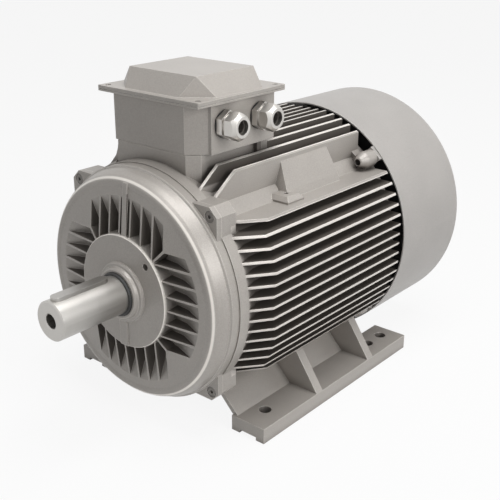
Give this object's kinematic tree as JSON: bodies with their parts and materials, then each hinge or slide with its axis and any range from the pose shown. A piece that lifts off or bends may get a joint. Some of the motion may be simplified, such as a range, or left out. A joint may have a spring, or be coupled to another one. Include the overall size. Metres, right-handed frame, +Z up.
{
  "type": "electric motor",
  "caption": "Foot-mounted squirrel-cage motor with ribbed frame, keyed shaft end, fan cowl, and a terminal box on top with side cable glands.",
  "frame": {"origin": "on the floor plane of the feet, midway between the four outer foot bolt holes, under the shaft", "axes": "-Y points out of the drive end along the shaft, +X to the side of the cable glands, +Z up"},
  "size_m": [0.3895, 0.7225, 0.4881],
  "materials": {
    "casting": "matte grey",
    "cowl": "satin grey",
    "core_sheets": "stacked sheets",
    "copper": "varnished copper",
    "die_cast_aluminium": "as cast",
    "turned_steel": "turned",
    "bearing_steel": "ground",
    "pressed_steel": "pressed",
    "zinc_steel": "zinc plated",
    "black_rubber": "matte black",
    "fan_plastic": "moulded black",
    "nickel": "nickel plated brass",
    "board_plastic": "moulded dark brown",
    "stud_brass": "brass"
  },
  "bodies": {
    "frame": {"stator_frame": "casting", "foot_right": "casting", "foot_left": "casting", "drive_end_shield": "casting", "fan_end_shield": "casting", "terminal_box": "casting", "terminal_box_lid": "casting", "fan_cowl": "cowl", "stator_core": "core_sheets", "stator_windings": "copper", "drive_end_bearing_outer_ring": "bearing_steel", "fan_end_bearing_outer_ring": "bearing_steel", "bearing_circlip": "pressed_steel", "bearing_wave_spring": "pressed_steel", "drive_end_shield_bolts": "zinc_steel", "fan_end_shield_bolts": "zinc_steel", "cowl_screws": "zinc_steel", "cowl_nuts": "zinc_steel", "terminal_box_screws": "zinc_steel", "lid_screws": "zinc_steel", "earth_screw": "zinc_steel", "terminal_box_gasket": "black_rubber", "lid_gasket": "black_rubber", "gland_bodies": "nickel", "gland_cap_nuts": "nickel", "gland_locknuts": "nickel", "gland_gaskets": "black_rubber", "gland_seals": "black_rubber", "terminal_board": "board_plastic", "terminal_studs": "stud_brass", "terminal_links": "stud_brass"},
    "rotor": {"shaft": "turned_steel", "drive_key": "turned_steel", "rotor_core": "core_sheets", "rotor_cage": "die_cast_aluminium", "drive_end_bearing_inner_ring": "bearing_steel", "fan_end_bearing_inner_ring": "bearing_steel", "drive_end_seal": "black_rubber", "fan_end_v_ring": "black_rubber", "cooling_fan": "fan_plastic", "fan_key": "turned_steel", "fan_circlip": "pressed_steel"},
    "drive_end_cage": {"drive_end_bearing_balls": "bearing_steel", "drive_end_bearing_cage": "pressed_steel"},
    "fan_end_cage": {"fan_end_bearing_balls": "bearing_steel", "fan_end_bearing_cage": "pressed_steel"}
  },
  "joints": [
    {"name": "rotor_spin", "type": "hinge", "parent": "frame", "child": "rotor", "pos_m": [0, 0, 0.2], "axis": [0, 1, 0], "continuous": true},
    {"name": "drive_end_cage_spin", "type": "hinge", "parent": "frame", "child": "drive_end_cage", "pos_m": [0, -0.2415, 0.2], "axis": [0, 1, 0], "continuous": true},
    {"name": "fan_end_cage_spin", "type": "hinge", "parent": "frame", "child": "fan_end_cage", "pos_m": [0, 0.1475, 0.2], "axis": [0, 1, 0], "continuous": true}
  ],
  "couplings": [
    {"joint": "drive_end_cage_spin", "follows": "rotor_spin", "ratio": 0.38316},
    {"joint": "fan_end_cage_spin", "follows": "rotor_spin", "ratio": 0.38316}
  ]
}
